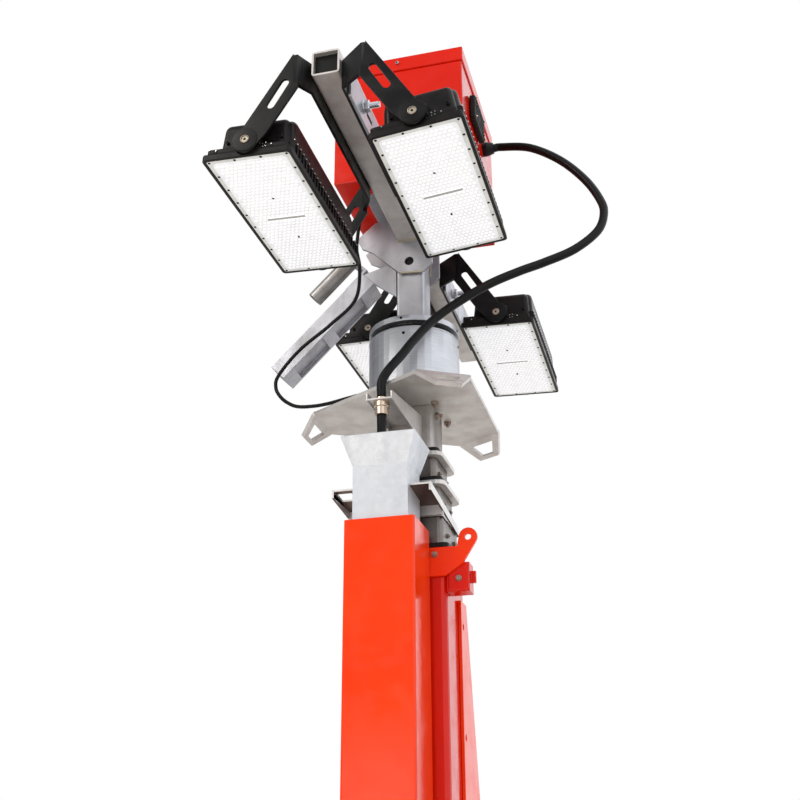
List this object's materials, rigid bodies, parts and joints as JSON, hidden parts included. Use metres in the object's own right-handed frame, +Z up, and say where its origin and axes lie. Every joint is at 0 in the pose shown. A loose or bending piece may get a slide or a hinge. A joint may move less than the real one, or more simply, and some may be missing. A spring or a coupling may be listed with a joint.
{
  "type": "telescopic lighting mast",
  "caption": "Vertical telescopic mast of nested square tubes, with a turning head that carries tilting floodlights and a junction box, the upper part of a mobile light tower.",
  "frame": {"origin": "middle of the mast on the underside of the base plate", "axes": "+Z up along the mast, -Y to the front where the cable trunk is, +X to the right, and the crossbar runs along Y"},
  "size_m": [0.7193, 1.2288, 2.772],
  "materials": {
    "orange_paint": "gloss",
    "zinc": "hot dip galvanised",
    "satin_aluminium": "satin",
    "black_lamp_alloy": "black powder coat",
    "black_yoke_steel": "black powder coat",
    "sliding_pad": "matt",
    "lens": "clear optic",
    "cable_sheath": "matt",
    "gland_brass": "nickel plated"
  },
  "bodies": {
    "outer_mast": {"base_plate": "zinc", "outer_tube": "orange_paint", "outer_pad": "sliding_pad", "lug_plate": "orange_paint", "side_bracket": "orange_paint", "rear_cheek_left": "orange_paint", "rear_cheek_right": "orange_paint", "cable_trunk": "orange_paint", "trunk_rail": "orange_paint"},
    "stage_four": {"stage_four_tube": "zinc", "stage_four_pad": "sliding_pad", "inner_trunk": "zinc", "trunk_carrier": "zinc"},
    "stage_three": {"stage_three_tube": "zinc", "stage_three_flange": "zinc", "stage_three_pad": "sliding_pad"},
    "stage_two": {"stage_two_tube": "zinc", "stage_two_flange": "zinc", "stage_two_pad": "sliding_pad"},
    "stage_one": {"stage_one_tube": "zinc", "guy_plate": "zinc", "rotator_housing": "satin_aluminium", "gland_bracket": "zinc", "cable_gland": "gland_brass", "cable_drop": "cable_sheath"},
    "head": {"rotor_flange": "satin_aluminium", "head_post": "zinc", "front_side_plate": "zinc", "rear_side_plate": "zinc", "crossbar": "zinc", "side_arm": "zinc", "arm_plate": "zinc", "arm_pipe": "zinc", "pipe_plate": "zinc", "junction_box": "orange_paint", "box_lid": "orange_paint", "box_cradle": "zinc", "box_vent": "sliding_pad", "box_gland": "sliding_pad", "yoke_front_left": "black_yoke_steel", "yoke_front_right": "black_yoke_steel", "yoke_rear_left": "black_yoke_steel", "yoke_rear_right": "black_yoke_steel", "adjuster_front": "zinc", "adjuster_rear": "zinc", "power_cable": "cable_sheath", "control_cable": "cable_sheath"},
    "lamp_front_left": {"lamp_front_left_housing": "black_lamp_alloy", "lamp_front_left_lens": "lens"},
    "lamp_front_right": {"lamp_front_right_housing": "black_lamp_alloy", "lamp_front_right_lens": "lens"},
    "lamp_rear_left": {"lamp_rear_left_housing": "black_lamp_alloy", "lamp_rear_left_lens": "lens"},
    "lamp_rear_right": {"lamp_rear_right_housing": "black_lamp_alloy", "lamp_rear_right_lens": "lens"}
  },
  "joints": [
    {"name": "stage_four_slide", "type": "slide", "parent": "outer_mast", "child": "stage_four", "axis": [0, 0, 1], "range_m": [0, 1.3]},
    {"name": "stage_three_slide", "type": "slide", "parent": "stage_four", "child": "stage_three", "axis": [0, 0, 1], "range_m": [0, 1.3]},
    {"name": "stage_two_slide", "type": "slide", "parent": "stage_three", "child": "stage_two", "axis": [0, 0, 1], "range_m": [0, 1.3]},
    {"name": "stage_one_slide", "type": "slide", "parent": "stage_two", "child": "stage_one", "axis": [0, 0, 1], "range_m": [0, 1.3]},
    {"name": "head_turn", "type": "hinge", "parent": "stage_one", "child": "head", "pos_m": [0, 0, 2.167], "axis": [0, 0, 1], "range_deg": [-90, 90], "deforming": ["power_cable", "control_cable"]},
    {"name": "tilt_front_left", "type": "hinge", "parent": "head", "child": "lamp_front_left", "pos_m": [-0.131, -0.4125, 2.276], "axis": [0, 1, 0], "range_deg": [-60, 60]},
    {"name": "tilt_front_right", "type": "hinge", "parent": "head", "child": "lamp_front_right", "pos_m": [0.157, -0.4125, 2.276], "axis": [0, 1, 0], "range_deg": [-60, 60]},
    {"name": "tilt_rear_left", "type": "hinge", "parent": "head", "child": "lamp_rear_left", "pos_m": [-0.131, 0.309, 2.276], "axis": [0, 1, 0], "range_deg": [-60, 60]},
    {"name": "tilt_rear_right", "type": "hinge", "parent": "head", "child": "lamp_rear_right", "pos_m": [0.157, 0.309, 2.276], "axis": [0, 1, 0], "range_deg": [-60, 60]}
  ],
  "couplings": [
    {"joint": "stage_three_slide", "follows": "stage_four_slide", "ratio": 1},
    {"joint": "stage_two_slide", "follows": "stage_four_slide", "ratio": 1},
    {"joint": "stage_one_slide", "follows": "stage_four_slide", "ratio": 1}
  ]
}
